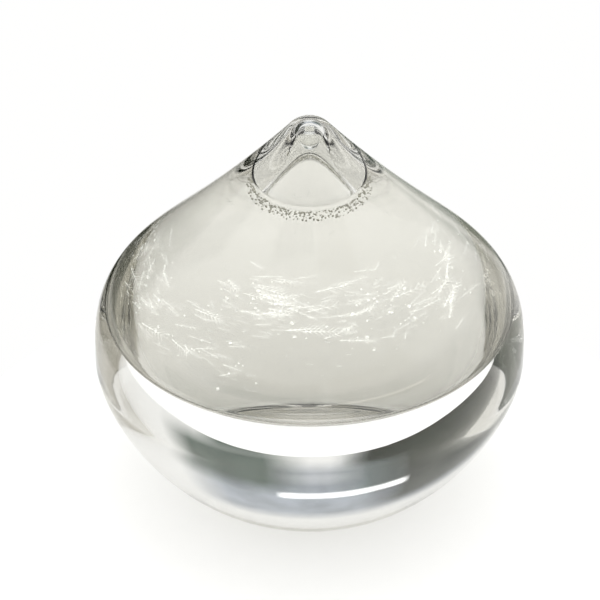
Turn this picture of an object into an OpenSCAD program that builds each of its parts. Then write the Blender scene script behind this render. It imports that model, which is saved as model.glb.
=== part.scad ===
// Storm glass: a sealed, hand-blown glass drop that stands on its own flat foot.
// Its chamber holds a camphor solution, the crystals that grow in it and a pocket of air under the tip.
// Units are millimetres. The origin is the centre of the foot, and +Z points up to the tip.

/* [Glass drop] */
// Widest diameter of the drop
body_d = 80; // [66:1:96]
// Overall height, from the foot to the tip
body_h = 77; // [64:0.5:93]
// Height of the widest point above the foot
belly_h = 29; // [27:0.5:35]
// Diameter of the flat foot
foot_d = 26; // [21:1:32]
// Radius of the rounded tip
tip_r = 5; // [4:0.25:6]
// Lean of the flank just under the tip, measured from the upright
flank_lean = 43; // [38:1:48]
// How strongly the flank runs straight before it curls into the shoulder
flank_reach = 43.5; // [36:0.5:48]
// How far the outside stays upright above its widest point
shoulder_rise = 19.5; // [16:0.5:24]
// How far the outside stays upright below its widest point
bowl_drop = 8; // [6:0.5:10]
// How far the underside sweeps flat beyond the foot
bowl_sweep = 14; // [11:1:17]

/* [Chamber] */
// Thickness of the glass over the chamber's peak
tip_t = 1.8; // [1.4:0.1:2.4]
// Radius of the chamber's rounded peak
peak_r = 2.6; // [2.2:0.1:3.2]
// Lean of the chamber's side just under its peak, measured from the upright
neck_lean = 21; // [18:1:26]
// How strongly that side runs straight before it curls outwards
neck_reach = 30; // [25:1:36]
// How far the chamber's side stays upright above the chamber's widest point
side_rise = 8; // [6:0.5:10]
// How far the chamber's side stays upright below the chamber's widest point
side_drop = 1.5; // [1:0.25:3]
// Height of the chamber's widest point above its floor
side_h = 5; // [4:0.5:8]
// How much further in the chamber's widest point lies than the drop's
wall_t = 7; // [5.5:0.25:8.5]
// Thickness of the solid glass under the chamber
base_t = 31; // [25:0.5:37.5]
// Diameter of the flat in the middle of the chamber's floor
floor_d = 32; // [26:1:38]
// How far the chamber's floor sweeps out beyond that flat
floor_sweep = 12; // [10:1:14]

/* [Filling] */
// Height of the air pocket, from the chamber's peak down to the liquid's edge
air_h = 12.4; // [10:0.2:15]
// How far the liquid's middle dips below its edge
meniscus_h = 0.8; // [0.4:0.1:1.2]

/* [Tip seal] */
// Diameter of the filling hole through the tip
fill_d = 2; // [1.6:0.1:2.4]
// Radius of the glass bead that hangs inside the tip
bead_r = 1.9; // [1.5:0.1:2.3]
// How far the bead's centre hangs below the chamber's peak
bead_drop = 3.2; // [2.8:0.1:4]
// Gap all round between the seal's stem and the filling hole
seal_gap = 0.05; // [0.02:0.01:0.1]

/* [Crystals] */
// Length of the longest feather crystals
feather_len = 8; // [5:0.5:9]
// Width across a feather's barbs
feather_w = 2.6; // [1.5:0.1:3.5]
// Thickness of a feather or a star flake
feather_t = 0.35; // [0.2:0.05:0.6]
// How far the drifts rise and sink from the middle of the liquid
drift_spread = 3; // [2:0.25:4]
// Radius of a star flake
star_r = 1.2; // [0.6:0.1:1.6]
// Radius of a crystal grain at the liquid's edge
grain_r = 0.4; // [0.2:0.05:0.5]
// Length of the longest needles on the chamber's floor
needle_len = 4; // [2:0.5:5]
// Radius of those needles
needle_r = 0.4; // [0.2:0.05:0.5]

/* [Hidden] */

$fn = 96;
tip_steps = 6;
crown_steps = 30;
bowl_steps = 18;

peak_h = body_h - tip_t;
level_h = peak_h - air_h;
filled_h = level_h - base_t;
drift_h = base_t + filled_h / 2;
crystal_clear = 0.6;
golden_angle = 137.508;

// Outlines --------------------------------------------------------------------------------------------
function bezier(p, t) =
    pow(1 - t, 3) * p[0] + 3 * pow(1 - t, 2) * t * p[1] + 3 * (1 - t) * t * t * p[2] + pow(t, 3) * p[3];

// Half outline of a drop from its top down: a round cap, then a crown down to the widest point, then a bowl
function drop_outline(cap_r, top_h, lean, reach, widest, rise, drop, sweep, low_r, low_h) =
    let (
        cap_h = top_h - cap_r,
        cap_end = [cap_r * cos(lean), cap_h + cap_r * sin(lean)],
        crown = [cap_end, cap_end + reach * [sin(lean), -cos(lean)], widest + [0, rise], widest],
        bowl = [widest, widest - [0, drop], [low_r + sweep, low_h], [low_r, low_h]]
    )
    concat(
        [for (i = [0:tip_steps - 1])
            let (a = 90 - (90 - lean) * i / tip_steps)
            [cap_r * cos(a), cap_h + cap_r * sin(a)]],
        [for (i = [0:crown_steps - 1]) bezier(crown, i / crown_steps)],
        [for (i = [0:bowl_steps]) bezier(bowl, i / bowl_steps)]
    );

outside = drop_outline(
    tip_r, body_h, flank_lean, flank_reach, [body_d / 2, belly_h],
    shoulder_rise, bowl_drop, bowl_sweep, foot_d / 2, 0
);
inside = drop_outline(
    peak_r, peak_h, neck_lean, neck_reach, [body_d / 2 - wall_t, base_t + side_h],
    side_rise, side_drop, floor_sweep, floor_d / 2, base_t
);
inside_radii = [for (p = inside) [p.y, p.x]];
function chamber_r(h) = lookup(h, inside_radii);

// Basic solids ----------------------------------------------------------------------------------------
module drop_body() {
    rotate_extrude()
        polygon(concat(outside, [[0, 0]]));
}

module chamber() {
    rotate_extrude()
        polygon(concat(inside, [[0, base_t]]));
}

// One edge of a feather crystal: barbs that shorten from its root at the origin to its tip along +X
function feather_edge(length, half_w, barbs, rib) =
    let (pitch = length / barbs)
    [for (i = [0:barbs - 1])
        each [[i * pitch, rib], [(i + 0.85) * pitch, rib + half_w * (1 - i / barbs)]]];

module feather(length, width, barbs = 6) {
    rib = width / 14;
    edge = feather_edge(length, width / 2 - rib, barbs, rib);
    last = len(edge) - 1;
    linear_extrude(height = feather_t, center = true)
        polygon(concat(edge, [[length, 0]], [for (i = [last:-1:0]) [edge[i].x, -edge[i].y]]));
}

module star(radius) {
    linear_extrude(height = feather_t, center = true)
        polygon([for (i = [0:11]) radius * (i % 2 == 0 ? 1 : 0.3) * [cos(30 * i), sin(30 * i)]]);
}

module grain(radius, length) {
    cylinder(h = length, r = radius, center = true, $fn = 6);
}

// A fan of feathers just inside the chamber's wall, spread over an arc at three alternating heights
module feather_fan(middle, spread, count, height) {
    for (i = [0:count - 1]) {
        turn = middle + spread * (i / (count - 1) - 0.5);
        lift = height + 1.6 * (i % 3 - 1);
        shrink = 1 - 0.14 * (i % 4);
        rotate([0, 0, turn])
            translate([chamber_r(lift) - feather_len - 2 * (i % 2), 0, lift])
                rotate([20 * (i % 3 - 1), 14, 62 + 31 * (i % 3)])
                    translate([-feather_len * shrink / 2, 0, 0])
                        feather(feather_len * shrink, feather_w * shrink);
    }
}

// Sub-parts -------------------------------------------------------------------------------------------
module glass_vessel() {
    color([0.86, 0.88, 0.87, 0.4])
        difference() {
            drop_body();
            chamber();
            translate([0, 0, peak_h - peak_r])
                cylinder(h = body_h, d = fill_d);
        }
}

module tip_seal() {
    bead_h = peak_h - bead_drop;
    color([0.86, 0.88, 0.87])
        union() {
            intersection() {
                drop_body();
                translate([0, 0, bead_h])
                    cylinder(h = body_h, d = fill_d - 2 * seal_gap);
            }
            translate([0, 0, bead_h])
                sphere(r = bead_r);
        }
}

module storm_liquid() {
    edge_r = chamber_r(level_h);
    dish_r = (edge_r * edge_r + meniscus_h * meniscus_h) / (2 * meniscus_h);
    color([0.82, 0.82, 0.76, 0.5])
        difference() {
            chamber();
            translate([0, 0, level_h])
                cylinder(h = body_h, d = body_d);
            translate([0, 0, level_h - meniscus_h + dish_r])
                sphere(r = dish_r);
            crystal_bed();
            feather_drift_left();
            feather_drift_middle();
            feather_drift_right();
            star_flakes();
            liquid_line_crystals();
        }
}

module crystal_bed() {
    color("white")
        for (i = [1:14])
            rotate([0, 0, golden_angle * i])
                translate([floor_d * 0.1 * sqrt(i), 0, base_t + needle_r])
                    rotate([90, 0, 40 * i])
                        grain(needle_r, needle_len * (1 - 0.1 * (i % 4)));
}

module feather_drift_left() {
    color("white")
        feather_fan(195, 70, 7, drift_h - drift_spread);
}

module feather_drift_middle() {
    color("white")
        feather_fan(270, 60, 7, drift_h + drift_spread);
}

module feather_drift_right() {
    color("white")
        feather_fan(340, 60, 6, drift_h - drift_spread / 3);
}

module star_flakes() {
    color("white")
        for (i = [1:12]) {
            height = base_t + filled_h * (0.14 + 0.06 * i);
            rotate([0, 0, golden_angle * i])
                translate([chamber_r(height) * 0.38, 0, height])
                    rotate([35 * (i % 3), 25 * (i % 4), 0])
                        star(star_r * (1 - 0.15 * (i % 3)));
        }
}

module liquid_line_crystals() {
    grains = 16;
    height = level_h - meniscus_h - 2 * grain_r;
    color("white")
        for (i = [0:grains - 1])
            rotate([0, 0, 360 / grains * i])
                translate([chamber_r(height) - crystal_clear - grain_r, 0, height - 0.3 * (i % 2)])
                    rotate([0, 90, 25 * i])
                        grain(grain_r * (1 - 0.2 * (i % 3)), 1.5 * grain_r);
}

glass_vessel();
tip_seal();
storm_liquid();
crystal_bed();
feather_drift_left();
feather_drift_middle();
feather_drift_right();
star_flakes();
liquid_line_crystals();
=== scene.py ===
"""Looks of a drop-shaped storm glass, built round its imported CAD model.

The glass drop, its tip seal and the solution are turned from fine outlines, and the crystals are made of rods.
Each has a procedural finish. The glass stands on a pale table, in soft studio light. Sizes are in metres, and
a name that ends in _mm is in millimetres.
"""

import logging
import math
import random
from collections.abc import Sequence
from dataclasses import dataclass, field
from enum import Enum

import bmesh
import bpy
from mathutils import Euler, Matrix, Vector


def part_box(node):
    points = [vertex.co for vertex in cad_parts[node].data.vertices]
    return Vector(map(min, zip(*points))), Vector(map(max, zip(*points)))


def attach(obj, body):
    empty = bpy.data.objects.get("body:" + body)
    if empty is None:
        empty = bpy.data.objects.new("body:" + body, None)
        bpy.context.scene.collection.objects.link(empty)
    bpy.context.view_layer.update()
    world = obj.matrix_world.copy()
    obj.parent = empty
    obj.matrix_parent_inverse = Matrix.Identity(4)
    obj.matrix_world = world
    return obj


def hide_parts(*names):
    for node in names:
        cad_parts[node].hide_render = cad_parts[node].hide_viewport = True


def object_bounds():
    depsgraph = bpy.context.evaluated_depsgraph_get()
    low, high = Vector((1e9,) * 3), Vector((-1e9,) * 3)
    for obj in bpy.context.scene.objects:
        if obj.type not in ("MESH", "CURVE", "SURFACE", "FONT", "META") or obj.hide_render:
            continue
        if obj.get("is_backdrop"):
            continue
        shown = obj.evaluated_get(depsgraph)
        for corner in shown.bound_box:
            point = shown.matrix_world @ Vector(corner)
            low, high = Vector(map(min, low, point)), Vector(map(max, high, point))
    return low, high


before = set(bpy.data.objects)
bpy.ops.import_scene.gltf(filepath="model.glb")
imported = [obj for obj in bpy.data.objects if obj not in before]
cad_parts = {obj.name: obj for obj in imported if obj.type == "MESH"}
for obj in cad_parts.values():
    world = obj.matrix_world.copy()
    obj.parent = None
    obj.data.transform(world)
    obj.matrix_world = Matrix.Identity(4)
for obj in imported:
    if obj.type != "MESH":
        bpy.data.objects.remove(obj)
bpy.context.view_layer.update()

MM = 0.001
BODY = "root"
GOLDEN_ANGLE = math.radians(137.508)
log = logging.getLogger("storm_glass")

Colour = tuple[float, float, float]


# Outlines and mesh helpers --------------------------------------------------------------------------------


@dataclass(frozen=True)
class DropOutline:
    """Half outline of a drop in millimetres: a round cap, a crown down to the widest point, then a bowl."""

    cap_r: float
    top_h: float
    lean: float
    reach: float
    half_d: float
    widest_h: float
    rise: float
    drop: float
    sweep: float
    low_r: float
    low_h: float
    cap_steps: int = 12
    crown_steps: int = 64
    bowl_steps: int = 40

    @staticmethod
    def _bezier(knots: Sequence[Vector], t: float) -> Vector:
        """Point at t on the cubic curve of four knots."""
        u = 1 - t
        return u**3 * knots[0] + 3 * u * u * t * knots[1] + 3 * u * t * t * knots[2] + t**3 * knots[3]

    def points(self) -> list[Vector]:
        """Works out the outline's points.

        Returns:
            (radius, height) points from the top of the cap down to the edge of the flat underneath.
        """
        lean = math.radians(self.lean)
        cap_h = self.top_h - self.cap_r
        cap_end = Vector((self.cap_r * math.cos(lean), cap_h + self.cap_r * math.sin(lean)))
        widest = Vector((self.half_d, self.widest_h))
        run = self.reach * Vector((math.sin(lean), -math.cos(lean)))
        crown = (cap_end, cap_end + run, widest + Vector((0, self.rise)), widest)
        low = Vector((self.low_r, self.low_h))
        bowl = (widest, widest - Vector((0, self.drop)), low + Vector((self.sweep, 0)), low)
        turns = [math.pi / 2 - (math.pi / 2 - lean) * i / self.cap_steps for i in range(self.cap_steps)]
        cap = [Vector((self.cap_r * math.cos(a), cap_h + self.cap_r * math.sin(a))) for a in turns]
        upper = [self._bezier(crown, i / self.crown_steps) for i in range(self.crown_steps)]
        lower = [self._bezier(bowl, i / self.bowl_steps) for i in range(self.bowl_steps + 1)]
        return cap + upper + lower

    def radius_at(self, height: float) -> float:
        """Radius of the outline at a height.

        Args:
            height: Height above the foot in millimetres.

        Returns:
            The radius in millimetres, or the lowest radius below the outline.
        """
        line = self.points()
        for above, below in zip(line, line[1:]):
            if above.y >= height >= below.y:
                share = (above.y - height) / max(above.y - below.y, 1e-9)
                return above.x + (below.x - above.x) * share
        return line[-1].x


def turned(profile: Sequence[Vector], steps: int, inside_out: bool = False) -> bmesh.types.BMesh:
    """Turns a profile round the drop's axis into a closed shell.

    Args:
        profile: (radius, height) points in millimetres, from the axis back to the axis.
        steps: Number of steps in the full turn.
        inside_out: Whether the faces point into the shell, as on the wall of a hollow.

    Returns:
        The shell, in metres.
    """
    bm = bmesh.new()
    verts = [bm.verts.new((p.x * MM, 0, p.y * MM)) for p in profile]
    edges = [bm.edges.new(pair) for pair in zip(verts, verts[1:])]
    bmesh.ops.spin(
        bm, geom=verts + edges, cent=(0, 0, 0), axis=(0, 0, 1), angle=math.tau, steps=steps, use_merge=True
    )
    bmesh.ops.remove_doubles(bm, verts=bm.verts, dist=1e-7)
    bmesh.ops.recalc_face_normals(bm, faces=bm.faces)
    if inside_out:
        bmesh.ops.reverse_faces(bm, faces=bm.faces)
    return bm


def add_copy(target: bmesh.types.BMesh, source: bmesh.types.BMesh, place: Matrix) -> None:
    """Adds a placed copy of one mesh to another.

    Args:
        target: Mesh that grows.
        source: Mesh that is copied.
        place: Where the copy goes.
    """
    scratch = bpy.data.meshes.new("scratch")
    source.to_mesh(scratch)
    scratch.transform(place)
    target.from_mesh(scratch)
    bpy.data.meshes.remove(scratch)


def made_piece(name: str, bm: bmesh.types.BMesh, smooth: bool) -> bpy.types.Object:
    """Makes an object at the origin from a finished bmesh, and frees the bmesh.

    Args:
        name: Name of the piece.
        bm: Its mesh, in metres and in place.
        smooth: Whether its faces are shaded smooth.

    Returns:
        The new object.
    """
    mesh = bpy.data.meshes.new(name)
    bm.to_mesh(mesh)
    bm.free()
    mesh.polygons.foreach_set("use_smooth", [smooth] * len(mesh.polygons))
    piece = bpy.data.objects.new(name, mesh)
    bpy.context.scene.collection.objects.link(piece)
    return piece


# Node helper ----------------------------------------------------------------------------------------------


class Graph:
    """A short way to add and link the nodes of one material or world."""

    def __init__(self, tree: bpy.types.NodeTree) -> None:
        """Keeps the node tree to fill."""
        self.tree = tree

    def add(
        self, kind: str, values: dict | None = None, links: dict | None = None, **settings: object
    ) -> bpy.types.Node:
        """Adds a node.

        Args:
            kind: Node type's identifier.
            values: Constant for each input, by name or number.
            links: Output socket for each input, by name or number.
            **settings: Properties of the node itself.

        Returns:
            The new node.
        """
        node = self.tree.nodes.new(kind)
        for key, value in settings.items():
            setattr(node, key, value)
        for key, value in (values or {}).items():
            node.inputs[key].default_value = value
        for key, socket in (links or {}).items():
            self.tree.links.new(socket, node.inputs[key])
        return node

    def maths(self, operation: str, *terms: object, clamp: bool = False) -> bpy.types.NodeSocket:
        """Adds a Math node.

        Args:
            operation: What the node works out.
            *terms: Its inputs in order, each a number or a socket.
            clamp: Whether the result is kept between 0 and 1.

        Returns:
            The node's output.
        """
        numbers = {i: t for i, t in enumerate(terms) if isinstance(t, (int, float))}
        sockets = {i: t for i, t in enumerate(terms) if not isinstance(t, (int, float))}
        node = self.add("ShaderNodeMath", numbers, sockets, operation=operation, use_clamp=clamp)
        return node.outputs[0]

    def ramp_up(self, value: bpy.types.NodeSocket, start: float, soft: float) -> bpy.types.NodeSocket:
        """Rises from 0 at start to 1 at start + soft, and stays there."""
        return self.maths("DIVIDE", self.maths("SUBTRACT", value, start), soft, clamp=True)

    def between(
        self, value: bpy.types.NodeSocket, low: float, high: float, soft: float
    ) -> bpy.types.NodeSocket:
        """Is 1 between low and high, and falls to 0 over soft inside each end."""
        fall = self.maths("DIVIDE", self.maths("SUBTRACT", high, value), soft, clamp=True)
        return self.maths("MULTIPLY", self.ramp_up(value, low, soft), fall)

    def blend(self, share: bpy.types.NodeSocket, under: object, over: object) -> bpy.types.NodeSocket:
        """Mixes two colours.

        Args:
            share: How much of the second colour shows, from 0 to 1.
            under: First colour, or the socket that gives it.
            over: Second colour, or the socket that gives it.

        Returns:
            The mixed colour.
        """
        node = self.add("ShaderNodeMix", links={0: share}, data_type="RGBA")
        for slot, colour in ((6, under), (7, over)):
            if isinstance(colour, tuple):
                node.inputs[slot].default_value = (*colour, 1)
            else:
                self.tree.links.new(colour, node.inputs[slot])
        return node.outputs[2]


def new_material(name: str) -> tuple[bpy.types.Material, Graph, bpy.types.Node]:
    """Makes a node material.

    Args:
        name: Name of the material.

    Returns:
        The material, the graph of its nodes and its Principled shader.
    """
    material = bpy.data.materials.new(name)
    material.use_nodes = True
    graph = Graph(material.node_tree)
    return material, graph, material.node_tree.nodes["Principled BSDF"]


# Finishes -------------------------------------------------------------------------------------------------


@dataclass(frozen=True)
class BlownGlass:
    """Fire-polished clear glass with the faint waves and cords of hand blowing."""

    name: str = "blown_clear_glass"
    tint: Colour = (0.985, 0.99, 0.982)
    ior: float = 1.5
    wave_scale: float = 55.0
    cord_scale: float = 18.0
    cord_stretch: float = 3.2
    cord_share: float = 0.6
    wave_depth: float = 0.00012

    def material(self) -> bpy.types.Material:
        """Builds the glass: clear body, slow waves and finer drawn-out cords in its surface.

        Returns:
            The new material.
        """
        material, graph, shader = new_material(self.name)
        shader.inputs["IOR"].default_value = self.ior
        shader.inputs["Transmission Weight"].default_value = 1.0
        shader.inputs["Roughness"].default_value = 0.0
        place = graph.add("ShaderNodeTexCoord")
        waves = graph.add(
            "ShaderNodeTexNoise",
            {"Scale": self.wave_scale, "Detail": 1.0},
            {"Vector": place.outputs["Object"]},
        )
        drawn = graph.add(
            "ShaderNodeMapping",
            {"Scale": (1.0, 1.0, self.cord_stretch)},
            {"Vector": place.outputs["Object"]},
        )
        cords = graph.add(
            "ShaderNodeTexNoise",
            {"Scale": self.cord_scale, "Detail": 2.0, "Distortion": 1.2},
            {"Vector": drawn.outputs[0]},
        )
        tone = graph.blend(cords.outputs[0], self.tint, tuple(c * 0.996 for c in self.tint))
        graph.tree.links.new(tone, shader.inputs["Base Color"])
        ridges = graph.maths("MULTIPLY", cords.outputs[0], self.cord_share)
        height = graph.maths("ADD", waves.outputs[0], ridges)
        bump = graph.add(
            "ShaderNodeBump", {"Strength": 0.35, "Distance": self.wave_depth}, {"Height": height}
        )
        graph.tree.links.new(bump.outputs[0], shader.inputs["Normal"])
        return material


@dataclass(frozen=True)
class CamphorSolution:
    """The faintly milky, warm alcohol solution, with weak streaks where it is richer."""

    name: str = "camphor_solution"
    clear: Colour = (0.80, 0.785, 0.745)
    rich: Colour = (0.72, 0.705, 0.66)
    ior: float = 1.38
    streak_scale: float = 30.0
    streak_flatness: float = 2.5
    streak_depth: float = 0.00008

    def material(self) -> bpy.types.Material:
        """Builds the solution: a body whose tone drifts a little from place to place.

        Returns:
            The new material.
        """
        material, graph, shader = new_material(self.name)
        shader.inputs["IOR"].default_value = self.ior
        shader.inputs["Transmission Weight"].default_value = 1.0
        shader.inputs["Roughness"].default_value = 0.0
        place = graph.add("ShaderNodeTexCoord")
        flat = graph.add(
            "ShaderNodeMapping",
            {"Scale": (1.0, 1.0, self.streak_flatness)},
            {"Vector": place.outputs["Object"]},
        )
        streaks = graph.add(
            "ShaderNodeTexNoise",
            {"Scale": self.streak_scale, "Detail": 3.0, "Distortion": 1.5},
            {"Vector": flat.outputs[0]},
        )
        tone = graph.blend(streaks.outputs[0], self.clear, self.rich)
        graph.tree.links.new(tone, shader.inputs["Base Color"])
        bump = graph.add(
            "ShaderNodeBump",
            {"Strength": 0.25, "Distance": self.streak_depth},
            {"Height": streaks.outputs[0]},
        )
        graph.tree.links.new(bump.outputs[0], shader.inputs["Normal"])
        return material


@dataclass(frozen=True)
class CamphorCrystal:
    """White, half clear camphor crystal with frosted grain, glassy gaps and a painted glow for the light it
    scatters.
    """

    name: str
    bright: Colour = (0.97, 0.97, 0.96)
    shaded: Colour = (0.80, 0.81, 0.79)
    thin: float = 0.2
    thick: float = 0.95
    grain_scale: float = 900.0
    grain_depth: float = 0.00006
    # painted light: strength of the glow the crystal gives off in its own tone
    painted_glow: float = 0.55

    def material(self) -> bpy.types.Material:
        """Builds the crystal: its tone, its clearness and its grain follow one fine pattern, and it glows in
        that tone as painted light.

        Returns:
            The new material.
        """
        material, graph, shader = new_material(self.name)
        shader.inputs["Roughness"].default_value = 0.28
        shader.inputs["IOR"].default_value = 1.5
        # painted light: the crystal glows in its own tone, standing in for light scattered inside it
        shader.inputs["Emission Strength"].default_value = self.painted_glow
        place = graph.add("ShaderNodeTexCoord")
        grain = graph.add(
            "ShaderNodeTexNoise",
            {"Scale": self.grain_scale, "Detail": 3.0, "Roughness": 0.65},
            {"Vector": place.outputs["Object"]},
        )
        facets = graph.add(
            "ShaderNodeTexVoronoi", {"Scale": self.grain_scale * 0.7}, {"Vector": place.outputs["Object"]}
        )
        tone = graph.blend(grain.outputs[0], self.bright, self.shaded)
        graph.tree.links.new(tone, shader.inputs["Base Color"])
        # the painted glow takes the same tone as the crystal's colour
        graph.tree.links.new(tone, shader.inputs["Emission Color"])
        span = graph.add(
            "ShaderNodeMapRange",
            {"From Min": 0.3, "From Max": 0.7, "To Min": self.thin, "To Max": self.thick},
            {"Value": grain.outputs[0]},
        )
        graph.tree.links.new(span.outputs[0], shader.inputs["Alpha"])
        bump = graph.add(
            "ShaderNodeBump", {"Strength": 0.6, "Distance": self.grain_depth}, {"Height": facets.outputs[0]}
        )
        graph.tree.links.new(bump.outputs[0], shader.inputs["Normal"])
        return material


@dataclass(frozen=True)
class PaleTable:
    """Plain matt white table."""

    name: str = "pale_table"
    white: Colour = (0.95, 0.95, 0.94)
    mottle: float = 0.985

    def material(self) -> bpy.types.Material:
        """Builds the table: a matt white with the faintest mottle.

        Returns:
            The new material.
        """
        material, graph, shader = new_material(self.name)
        shader.inputs["Roughness"].default_value = 0.85
        place = graph.add("ShaderNodeTexCoord")
        mottle = graph.add(
            "ShaderNodeTexNoise", {"Scale": 240.0, "Detail": 2.0}, {"Vector": place.outputs["Object"]}
        )
        tone = graph.blend(mottle.outputs[0], self.white, tuple(c * self.mottle for c in self.white))
        graph.tree.links.new(tone, shader.inputs["Base Color"])
        return material


# Glass and solution ---------------------------------------------------------------------------------------


@dataclass
class GlassDrop:
    """The blown drop: its outside and the wall of the chamber inside it."""

    belly_mm: float = 29.0
    foot_r_mm: float = 13.0
    chamber_widest_mm: float = 36.0
    chamber_floor_r_mm: float = 16.0
    chamber_peak_drop_mm: float = 1.8
    turn_steps: int = 192
    finish: BlownGlass = field(default_factory=BlownGlass)
    outside: DropOutline = field(init=False)
    chamber: DropOutline = field(init=False)

    def __post_init__(self) -> None:
        """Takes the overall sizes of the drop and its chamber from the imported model."""
        glass_low, glass_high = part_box("glass_vessel")
        fill_low, fill_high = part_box("storm_liquid")
        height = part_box("tip_seal")[1].z / MM
        self.outside = DropOutline(
            cap_r=5.0, top_h=height, lean=43.0, reach=43.5, half_d=(glass_high.x - glass_low.x) / 2 / MM,
            widest_h=self.belly_mm, rise=19.5, drop=8.0, sweep=14.0, low_r=self.foot_r_mm, low_h=0.0,
        )
        self.chamber = DropOutline(
            cap_r=2.6, top_h=height - self.chamber_peak_drop_mm, lean=21.0, reach=30.0,
            half_d=(fill_high.x - fill_low.x) / 2 / MM, widest_h=self.chamber_widest_mm, rise=8.0, drop=1.5,
            sweep=12.0, low_r=self.chamber_floor_r_mm, low_h=fill_low.z / MM,
        )

    def build(self) -> bpy.types.Object:
        """Turns the outside, and the chamber's wall with its faces towards the hollow, as one piece.

        Returns:
            The finished drop.
        """
        shell = turned([*self.outside.points(), Vector((0, 0))], self.turn_steps)
        hollow_line = [*self.chamber.points(), Vector((0, self.chamber.low_h))]
        hollow = turned(hollow_line, self.turn_steps, inside_out=True)
        add_copy(shell, hollow, Matrix.Identity(4))
        hollow.free()
        piece = made_piece("glass_drop", shell, smooth=True)
        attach(piece, BODY)
        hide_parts("glass_vessel")
        return self.dress(piece)

    def dress(self, piece: bpy.types.Object) -> bpy.types.Object:
        """Gives the drop its glass.

        Args:
            piece: The bare drop.

        Returns:
            The same drop.
        """
        piece.data.materials.append(self.finish.material())
        piece.visible_shadow = False
        return piece


@dataclass
class TipSeal:
    """The glass bead that hangs inside the tip on the fused stem of the filling hole."""

    chamber: DropOutline
    neck_r_mm: float = 0.95
    neck_chamfer_mm: float = 0.2
    peak_gap_mm: float = 0.25
    turn_steps: int = 64
    arc_steps: int = 28

    def build(self, glass: bpy.types.Material) -> bpy.types.Object:
        """Turns the bead with its neck, which ends just under the chamber's peak.

        Args:
            glass: The drop's own glass.

        Returns:
            The finished bead.
        """
        low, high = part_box("tip_seal")
        radius = (high.x - low.x) / 2 / MM
        centre = low.z / MM + radius
        neck_turn = math.asin(self.neck_r_mm / radius)
        span = math.pi - neck_turn
        arc = [span * i / self.arc_steps for i in range(1, self.arc_steps + 1)]
        line = [Vector((0, centre - radius))]
        line += [Vector((radius * math.sin(a), centre - radius * math.cos(a))) for a in arc]
        top = self.chamber.top_h - self.peak_gap_mm
        line.append(Vector((self.neck_r_mm, top - self.neck_chamfer_mm)))
        line.append(Vector((self.neck_r_mm - self.neck_chamfer_mm, top)))
        line.append(Vector((0, top)))
        piece = made_piece("tip_seal_bead", turned(line, self.turn_steps), smooth=True)
        piece.data.materials.append(glass)
        piece.visible_shadow = False
        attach(piece, BODY)
        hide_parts("tip_seal")
        return piece


@dataclass
class StormSolution:
    """The solution that fills the chamber up to its dished surface under the tip."""

    chamber: DropOutline
    dish_mm: float = 1.3
    cling: float = 8.0
    overlap_mm: float = 0.03
    edge_gap_mm: float = 0.02
    floor_band_mm: float = 2.0
    turn_steps: int = 192
    dish_steps: int = 24
    finish: CamphorSolution = field(default_factory=CamphorSolution)

    def build(self) -> bpy.types.Object:
        """Turns the solution, a hair wider than the chamber so that no air shows between it and the glass.

        Its top is level in the middle and climbs steeply where it clings to the glass.

        Returns:
            The finished solution.
        """
        _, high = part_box("storm_liquid")
        level = high.z / MM
        edge_r = self.chamber.radius_at(level)
        line = [Vector((0, level - self.dish_mm))]
        for i in range(1, self.dish_steps + 1):
            share = math.sin(math.pi / 2 * i / self.dish_steps)
            climb = share**self.cling
            line.append(Vector((edge_r * share, level - self.dish_mm * (1 - climb))))
        line.append(Vector((edge_r + self.overlap_mm, level)))
        floor_h = self.chamber.low_h
        for p in self.chamber.points():
            if p.y < level - self.edge_gap_mm:
                sink = self.overlap_mm if p.y < floor_h + self.floor_band_mm else 0
                line.append(Vector((p.x + self.overlap_mm, p.y - sink)))
        line.append(Vector((0, floor_h - self.overlap_mm)))
        piece = made_piece("storm_solution", turned(line, self.turn_steps), smooth=True)
        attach(piece, BODY)
        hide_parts("storm_liquid")
        return self.dress(piece)

    def dress(self, piece: bpy.types.Object) -> bpy.types.Object:
        """Gives the solution its finish.

        Args:
            piece: The bare solution.

        Returns:
            The same solution.
        """
        piece.data.materials.append(self.finish.material())
        piece.visible_shadow = False
        return piece


# Crystals -------------------------------------------------------------------------------------------------


class CrystalHabit(Enum):
    """The shapes in which the camphor crystals grow."""

    FEATHER = "feather"
    STAR = "star"
    NEEDLE = "needle"
    GRAIN = "grain"


# Radius of a needle and of a grain of unit length, and the least turn at a sharp edge in radians
NEEDLE_R = 0.09
GRAIN_R = 0.5
SHARP_ANGLE = 1.2


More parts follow.
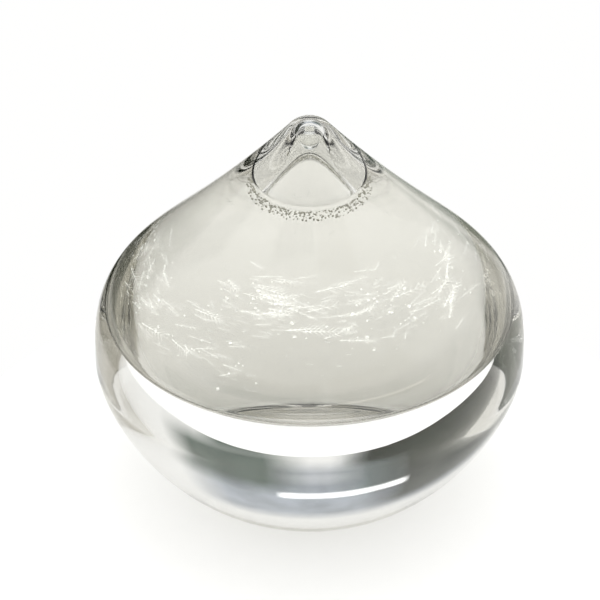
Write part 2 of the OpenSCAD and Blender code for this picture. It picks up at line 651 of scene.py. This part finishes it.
@dataclass(frozen=True)
class CrystalShape:
    """One crystal of unit length: a feather from its root along +X, or another habit about its centre."""

    habit: CrystalHabit
    barbs: int = 7
    rib_r: float = 0.009
    rib_thickness: float = 1.5
    longest_barb: float = 0.3
    barb_turn: float = 48.0
    barb_turn_fall: float = 12.0
    arms: int = 6
    arm_thickness: float = 1.6
    twig_length: float = 0.18
    twig_places: tuple[float, float] = (0.22, 0.34)
    flatness: float = 0.45
    stub_taper: float = 0.7
    stub_bevel: float = 0.3

    @staticmethod
    def _rod(length: float, radius: float, taper: float = 0.15) -> bmesh.types.BMesh:
        """Makes a four-sided rod from the origin along +X.

        Args:
            length: Its length.
            radius: Radius of its root.
            taper: Radius of its tip as a share of its root's.

        Returns:
            The rod.
        """
        bm = bmesh.new()
        bmesh.ops.create_cone(
            bm, cap_ends=True, cap_tris=False, segments=4,
            radius1=radius, radius2=radius * taper, depth=length,
        )
        bmesh.ops.translate(bm, verts=bm.verts, vec=(0, 0, length / 2))
        bmesh.ops.rotate(bm, verts=bm.verts, cent=(0, 0, 0), matrix=Matrix.Rotation(math.pi / 2, 3, "Y"))
        return bm

    def _add_rod(
        self, target: bmesh.types.BMesh, length: float, radius: float, at: float, turn: float
    ) -> None:
        """Adds a rod that leaves the rib.

        Args:
            target: Crystal that grows.
            length: Length of the rod.
            radius: Radius of the rod's root.
            at: Distance of the root along the rib.
            turn: Turn away from the rib in degrees, in the crystal's plane.
        """
        rod = self._rod(length, radius)
        place = Matrix.Translation((at, 0, 0)) @ Matrix.Rotation(math.radians(turn), 4, "Z")
        add_copy(target, rod, place)
        rod.free()

    def _stub(self) -> bmesh.types.BMesh:
        """Cuts a needle or a grain from a six-sided rod and bevels its edges.

        Returns:
            The needle or grain.
        """
        bm = bmesh.new()
        thick = NEEDLE_R if self.habit is CrystalHabit.NEEDLE else GRAIN_R
        bmesh.ops.create_cone(
            bm, cap_ends=True, cap_tris=False, segments=6,
            radius1=thick, radius2=thick * self.stub_taper, depth=1.0,
        )
        sharp = [e for e in bm.edges if len(e.link_faces) == 2 and e.calc_face_angle() > SHARP_ANGLE]
        bmesh.ops.bevel(
            bm, geom=sharp, offset=thick * self.stub_bevel, segments=1, profile=0.5, affect="EDGES",
            material=-1,
        )
        bmesh.ops.rotate(bm, verts=bm.verts, cent=(0, 0, 0), matrix=Matrix.Rotation(math.pi / 2, 3, "Y"))
        return bm

    def _star(self) -> bmesh.types.BMesh:
        """Grows six arms, each with two pairs of twigs.

        Returns:
            The star.
        """
        bm = bmesh.new()
        step = 360 / self.arms
        for arm in range(self.arms):
            self._add_rod(bm, 0.5, self.rib_r * self.arm_thickness, 0, step * arm)
            spread = Matrix.Rotation(math.radians(step * arm), 4, "Z")
            for side in (-1, 1):
                for share in self.twig_places:
                    twig = self._rod(self.twig_length * (1 - share), self.rib_r)
                    turn = Matrix.Rotation(math.radians(step * side), 4, "Z")
                    add_copy(bm, twig, spread @ Matrix.Translation((share, 0, 0)) @ turn)
                    twig.free()
        return bm

    def _feather(self) -> bmesh.types.BMesh:
        """Grows a rib with a barb on each side at even steps, longest near its middle.

        Returns:
            The feather.
        """
        bm = bmesh.new()
        self._add_rod(bm, 1.0, self.rib_r * self.rib_thickness, 0, 0)
        for i in range(self.barbs):
            at = 0.06 + 0.84 * i / self.barbs
            length = self.longest_barb * math.sin(math.pi * (0.18 + 0.78 * (1 - at))) ** 0.8
            turn = self.barb_turn - self.barb_turn_fall * at
            for side in (-1, 1):
                self._add_rod(bm, length, self.rib_r, at, side * turn)
        return bm

    def build(self) -> bmesh.types.BMesh:
        """Makes the crystal of its habit, and flattens a star or a feather.

        Returns:
            The crystal.
        """
        if self.habit in (CrystalHabit.NEEDLE, CrystalHabit.GRAIN):
            return self._stub()
        bm = self._star() if self.habit is CrystalHabit.STAR else self._feather()
        bmesh.ops.scale(bm, verts=bm.verts, vec=(1, 1, self.flatness))
        return bm


@dataclass
class FeatherDrift:
    """A drift of feather crystals that hangs in the solution along an arc of the chamber's wall.

    Turns are in degrees round the drop. A higher small_bias makes more of the feathers small, and feathers at
    the ends of the arc are shorter by the share end_shrink.
    """

    node: str
    middle: float
    spread: float
    height_mm: float
    chamber: DropOutline
    finish: CamphorCrystal
    count: int = 270
    seed: int = 3
    longest_mm: float = 7.5
    shortest_mm: float = 0.7
    small_bias: float = 2.2
    end_shrink: float = 0.35
    speck_share: float = 0.1
    band_mm: float = 4.0
    near_wall_mm: float = 0.6
    far_wall_mm: float = 3.4

    def build(self) -> bpy.types.Object:
        """Scatters feathers of many sizes over the drift's arc, longest at its middle, with specks between.

        Returns:
            The finished drift.
        """
        rng = random.Random(self.seed)
        shapes = [CrystalShape(CrystalHabit.FEATHER, barbs=n).build() for n in (5, 7)]
        shapes.append(CrystalShape(CrystalHabit.GRAIN).build())
        bm = bmesh.new()
        for i in range(self.count):
            off = rng.uniform(-1, 1)
            size = self.shortest_mm + (self.longest_mm - self.shortest_mm) * rng.random() ** self.small_bias
            size *= (1 - self.end_shrink * abs(off)) * (self.speck_share if i % 3 == 2 else 1)
            height = self.height_mm + self.band_mm * rng.gauss(0, 0.45)
            depth = rng.uniform(self.near_wall_mm, self.far_wall_mm) + size * 0.35
            out = self.chamber.radius_at(height) - depth
            turn = math.radians(self.middle + self.spread / 2 * off)
            tilt = Euler((rng.uniform(-0.6, 0.6), rng.gauss(0, 0.14), math.pi / 2 + rng.gauss(0, 0.3)))
            place = (
                Matrix.Rotation(turn, 4, "Z")
                @ Matrix.Translation((out * MM, 0, height * MM))
                @ tilt.to_matrix().to_4x4()
                @ Matrix.Scale(size * MM, 4)
                @ Matrix.Translation((-0.5, 0, 0))
            )
            add_copy(bm, shapes[i % 3], place)
        for shape in shapes:
            shape.free()
        return crystal_piece(f"{self.node}_growth", bm, self.node, self.finish)


@dataclass
class ScatteredCrystals:
    """Single crystals of one habit that are spread through part of the solution."""

    node: str
    habit: CrystalHabit
    finish: CamphorCrystal
    places: list[Matrix]

    def build(self) -> bpy.types.Object:
        """Copies the one crystal to each place.

        Returns:
            The finished crystals.
        """
        shape = CrystalShape(self.habit).build()
        bm = bmesh.new()
        for place in self.places:
            add_copy(bm, shape, place)
        shape.free()
        return crystal_piece(f"{self.node}_growth", bm, self.node, self.finish)


def crystal_piece(name: str, bm: bmesh.types.BMesh, node: str, finish: CamphorCrystal) -> bpy.types.Object:
    """Makes a crystal piece that stands for one CAD node.

    Args:
        name: Name of the piece.
        bm: Its mesh.
        node: CAD node that it replaces.
        finish: Its crystal finish.

    Returns:
        The finished piece.
    """
    bmesh.ops.recalc_face_normals(bm, faces=bm.faces)
    piece = made_piece(name, bm, smooth=False)
    piece.data.materials.append(finish.material())
    piece.visible_shadow = False
    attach(piece, BODY)
    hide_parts(node)
    return piece


def star_places(
    chamber: DropOutline, floor_mm: float, level_mm: float, count: int = 26, seed: int = 11
) -> list[Matrix]:
    """Places of the star flakes: a loose spiral up through the solution.

    Args:
        chamber: Outline of the chamber.
        floor_mm: Height of the chamber's floor.
        level_mm: Height of the solution's edge.
        count: Number of flakes.
        seed: Seed of their random sizes, tilts and places.

    Returns:
        One placing matrix for each flake.
    """
    rng = random.Random(seed)
    places = []
    for i in range(1, count + 1):
        height = floor_mm + (level_mm - floor_mm) * (0.12 + 0.029 * i)
        out = chamber.radius_at(height) * rng.uniform(0.15, 0.8)
        tilt = Euler((rng.uniform(0, 3), rng.uniform(0, 3), 0)).to_matrix().to_4x4()
        size = rng.uniform(0.8, 2.2)
        places.append(
            Matrix.Rotation(GOLDEN_ANGLE * i, 4, "Z")
            @ Matrix.Translation((out * MM, 0, height * MM)) @ tilt @ Matrix.Scale(size * MM, 4)
        )
    return places


def needle_places(floor_r_mm: float, floor_mm: float, count: int = 60, seed: int = 5) -> list[Matrix]:
    """Places of the needles that have settled on the chamber's floor.

    Args:
        floor_r_mm: Radius of the floor's flat.
        floor_mm: Height of the floor.
        count: Number of needles.
        seed: Seed of their random sizes and turns.

    Returns:
        One placing matrix for each needle.
    """
    rng = random.Random(seed)
    places = []
    for i in range(1, count + 1):
        out = floor_r_mm * 0.95 * math.sqrt(i / (count + 1))
        size = rng.uniform(0.3, 0.9)
        turn = Matrix.Rotation(GOLDEN_ANGLE * i, 4, "Z")
        lie = Matrix.Rotation(rng.uniform(0, math.pi), 4, "Z")
        height = floor_mm + NEEDLE_R * size + rng.uniform(0.02, 0.3)
        spot = Matrix.Translation((out * MM, 0, height * MM))
        places.append(turn @ spot @ lie @ Matrix.Scale(size * MM, 4))
    return places


def rim_places(chamber: DropOutline, level_mm: float, count: int = 620, seed: int = 8) -> list[Matrix]:
    """Places of the grains that gather along the edge of the solution, where it meets the glass.

    Args:
        chamber: Outline of the chamber.
        level_mm: Height of the solution's edge.
        count: Number of grains.
        seed: Seed of their random sizes, tilts and places.

    Returns:
        One placing matrix for each grain.
    """
    rng = random.Random(seed)
    places = []
    for _ in range(count):
        size = rng.uniform(0.12, 0.4)
        height = level_mm - 0.9 - rng.uniform(0.0, 1.2) ** 1.6 - size / 2
        out = chamber.radius_at(height) - size / 2 - rng.uniform(0.05, 0.45)
        turn = Matrix.Rotation(rng.uniform(0, math.tau), 4, "Z")
        tilt = Euler((rng.uniform(0, 3), rng.uniform(0, 3), rng.uniform(0, 3))).to_matrix().to_4x4()
        spot = Matrix.Translation((out * MM, 0, height * MM))
        places.append(turn @ spot @ tilt @ Matrix.Scale(size * MM, 4))
    return places


# Studio ---------------------------------------------------------------------------------------------------


@dataclass(frozen=True)
class SoftPatch:
    """A soft-edged patch of the surroundings, as seen from the drop, in degrees.

    Heights are above the horizon, and left and right are turns from straight behind the drop. The side edges
    are soft degrees wide, and the upper and lower ones are that times soft_height.
    """

    lowest: float
    highest: float
    left: float
    right: float
    soft: float
    tone: Colour
    soft_height: float = 0.6

    def cover(
        self, graph: Graph, height: bpy.types.NodeSocket, turn: bpy.types.NodeSocket
    ) -> bpy.types.NodeSocket:
        """Works out how much of each direction the patch covers.

        Args:
            graph: Graph of the surroundings.
            height: Height of the direction above the horizon, in radians.
            turn: Turn of the direction to the right of straight behind the drop, in radians.

        Returns:
            1 inside the patch and 0 outside it.
        """
        rad = math.radians
        across = graph.between(turn, rad(self.left), rad(self.right), rad(self.soft))
        edge = rad(self.soft * self.soft_height)
        upwards = graph.between(height, rad(self.lowest), rad(self.highest), edge)
        return graph.maths("MULTIPLY", upwards, across)


@dataclass
class Studio:
    """Pale table, painted soft surroundings, an overhead soft light and the camera."""

    aim_mm: float = 29.0
    elevation: float = 33.0
    distance: float = 0.42
    lens: float = 134.6
    shift: tuple[float, float] = (-0.0158, 0.0785)
    table_r: float = 0.072
    table_gap: float = 0.0001
    table: PaleTable = field(default_factory=PaleTable)
    pale: Colour = (0.93, 0.925, 0.90)
    plain: Colour = (1.0, 1.0, 0.995)
    cloud_scale: float = 9.0
    dimmest: float = 0.5
    brightest: float = 1.6
    lamp_spot: tuple[float, float, float] = (0.15, 0.25, 1.2)
    lamp_size: float = 0.9
    lamp_power: float = 6.0
    bounces: int = 32
    glossy_bounces: int = 8
    patches: tuple[SoftPatch, ...] = (
        SoftPatch(-3, 25, -60, 30, 12, (0.36, 0.39, 0.43)),
        SoftPatch(-25, -2, 4, 24, 6, (0.10, 0.13, 0.11)),
        SoftPatch(-8, 9, 0, 35, 9, (0.09, 0.12, 0.10)),
        SoftPatch(-8, 11, -26, -4, 8, (0.14, 0.17, 0.17)),
        SoftPatch(-26, 2, -70, -6, 6, (0.004, 0.008, 0.002)),
        SoftPatch(-8, 22, -70, -12, 10, (0.006, 0.012, 0.003)),
        SoftPatch(6.4, 9.6, -22, 7, 2, (1.6, 1.6, 1.6)),
        SoftPatch(20, 46, -185, -120, 9, (0.03, 0.04, 0.02)),
        SoftPatch(20, 46, 170, 185, 6, (0.03, 0.04, 0.02)),
        SoftPatch(12, 52, 108, 172, 9, (0.40, 0.38, 0.32)),
    )

    def lay_table(self) -> bpy.types.Object:
        """Lays the small round table a hair below the foot, so that the foot shows its own polished face.

        Returns:
            The table.
        """
        bm = bmesh.new()
        bmesh.ops.create_circle(bm, cap_ends=True, segments=128, radius=self.table_r)
        bmesh.ops.translate(bm, verts=bm.verts, vec=(0, 0, -self.table_gap))
        piece = made_piece("studio_table", bm, smooth=False)
        piece.data.materials.append(self.table.material())
        piece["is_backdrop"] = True
        return piece

    def paint_surroundings(self) -> None:
        """Paints the surroundings by direction: pale, with the patches over it in turn.

        The patches are darker low behind and higher up in front, and one is a thin bright strip low behind.
        Each is cloudy. They show only in what mirrors or bends light: the camera and matt surfaces get plain
        white in their place.
        """
        world = bpy.data.worlds.new("studio_surroundings")
        bpy.context.scene.world = world
        world.use_nodes = True
        graph = Graph(world.node_tree)
        background = world.node_tree.nodes["Background"]
        way = graph.add("ShaderNodeTexCoord")
        parts = graph.add("ShaderNodeSeparateXYZ", links={0: way.outputs["Generated"]})
        height = graph.maths("ARCSINE", parts.outputs["Z"])
        turn = graph.maths("ARCTAN2", parts.outputs["X"], parts.outputs["Y"])
        clouds = graph.add(
            "ShaderNodeTexNoise",
            {"Scale": self.cloud_scale, "Detail": 3.0},
            {"Vector": way.outputs["Generated"]},
        )
        colour: object = self.pale
        for patch in self.patches:
            dim, lit = (tuple(c * part for c in patch.tone) for part in (self.dimmest, self.brightest))
            cloudy = graph.blend(clouds.outputs[0], dim, lit)
            colour = graph.blend(patch.cover(graph, height, turn), colour, cloudy)
        path = graph.add("ShaderNodeLightPath")
        plain = graph.maths("MAXIMUM", path.outputs["Is Camera Ray"], path.outputs["Is Diffuse Ray"])
        colour = graph.blend(plain, colour, self.plain)
        graph.tree.links.new(colour, background.inputs["Color"])

    def hang_light(self) -> None:
        """Hangs one large soft light over the table."""
        light = bpy.data.lights.new("overhead_soft_light", "AREA")
        light.size = self.lamp_size
        light.energy = self.lamp_power
        lamp = bpy.data.objects.new("overhead_soft_light", light)
        bpy.context.scene.collection.objects.link(lamp)
        lamp.location = self.lamp_spot
        lamp.rotation_euler = (-lamp.location).to_track_quat("-Z", "Y").to_euler()
        lamp.visible_glossy = False
        lamp.visible_transmission = False

    def place_camera(self) -> None:
        """Places the camera in front of the drop, looking down on its widest point."""
        data = bpy.data.cameras.new("front_camera")
        camera = bpy.data.objects.new("front_camera", data)
        bpy.context.scene.collection.objects.link(camera)
        tilt = math.radians(self.elevation)
        out = Vector((0, -math.cos(tilt), math.sin(tilt))) * self.distance
        camera.location = Vector((0, 0, self.aim_mm * MM)) + out
        camera.rotation_euler = (math.pi / 2 - tilt, 0, 0)
        data.lens = self.lens
        data.sensor_width = 36.0
        data.shift_x, data.shift_y = self.shift
        bpy.context.scene.camera = camera

    def set_up(self) -> None:
        """Sets up the whole studio and the light paths that clear glass needs."""
        self.lay_table()
        self.paint_surroundings()
        self.hang_light()
        self.place_camera()
        scene = bpy.context.scene
        scene.view_settings.view_transform = "Standard"
        scene.cycles.use_denoising = True
        scene.cycles.max_bounces = self.bounces
        scene.cycles.transmission_bounces = self.bounces
        scene.cycles.transparent_max_bounces = self.bounces
        scene.cycles.glossy_bounces = self.glossy_bounces


def main() -> None:
    """Builds the storm glass piece by piece, then the studio, and reports each."""
    logging.basicConfig(level=logging.INFO, format="%(name)s: %(message)s")
    drop = GlassDrop()
    glass = drop.build()
    pieces = [glass, TipSeal(drop.chamber).build(glass.data.materials[0])]
    solution = StormSolution(drop.chamber)
    pieces.append(solution.build())
    low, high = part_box("storm_liquid")
    floor_mm, level_mm = low.z / MM, high.z / MM
    drift_mm = (floor_mm + level_mm) / 2
    # each crystal finish below gives off a painted glow in its own tone, standing in for scattered light
    frosted = CamphorCrystal("camphor_feather")
    left = FeatherDrift("feather_drift_left", 200, 110, drift_mm - 6, drop.chamber, frosted, seed=3)
    middle = FeatherDrift("feather_drift_middle", 270, 100, drift_mm + 0.5, drop.chamber, frosted, seed=4)
    right = FeatherDrift(
        "feather_drift_right", 340, 110, drift_mm - 2.5, drop.chamber, frosted, count=210, seed=6
    )
    pieces += [drift.build() for drift in (left, middle, right)]
    clear = CamphorCrystal("camphor_flake", thin=0.1, thick=0.7, painted_glow=0.2)
    crust = CamphorCrystal(
        "camphor_crust", bright=(0.56, 0.55, 0.48), shaded=(0.26, 0.26, 0.20), thin=0.6, thick=1.0, painted_glow=0.06,
        grain_scale=1400.0,
    )
    scattered = (
        ("star_flakes", CrystalHabit.STAR, clear, star_places(drop.chamber, floor_mm, level_mm)),
        ("crystal_bed", CrystalHabit.NEEDLE, clear, needle_places(drop.chamber_floor_r_mm, floor_mm)),
        ("liquid_line_crystals", CrystalHabit.GRAIN, crust, rim_places(drop.chamber, level_mm)),
    )
    for node, habit, finish, places in scattered:
        pieces.append(ScatteredCrystals(node, habit, finish, places).build())
    Studio().set_up()
    for piece in pieces:
        log.info("%s: %d faces", piece.name, len(piece.data.polygons))
    low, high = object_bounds()


if __name__ == "__main__":
    main()
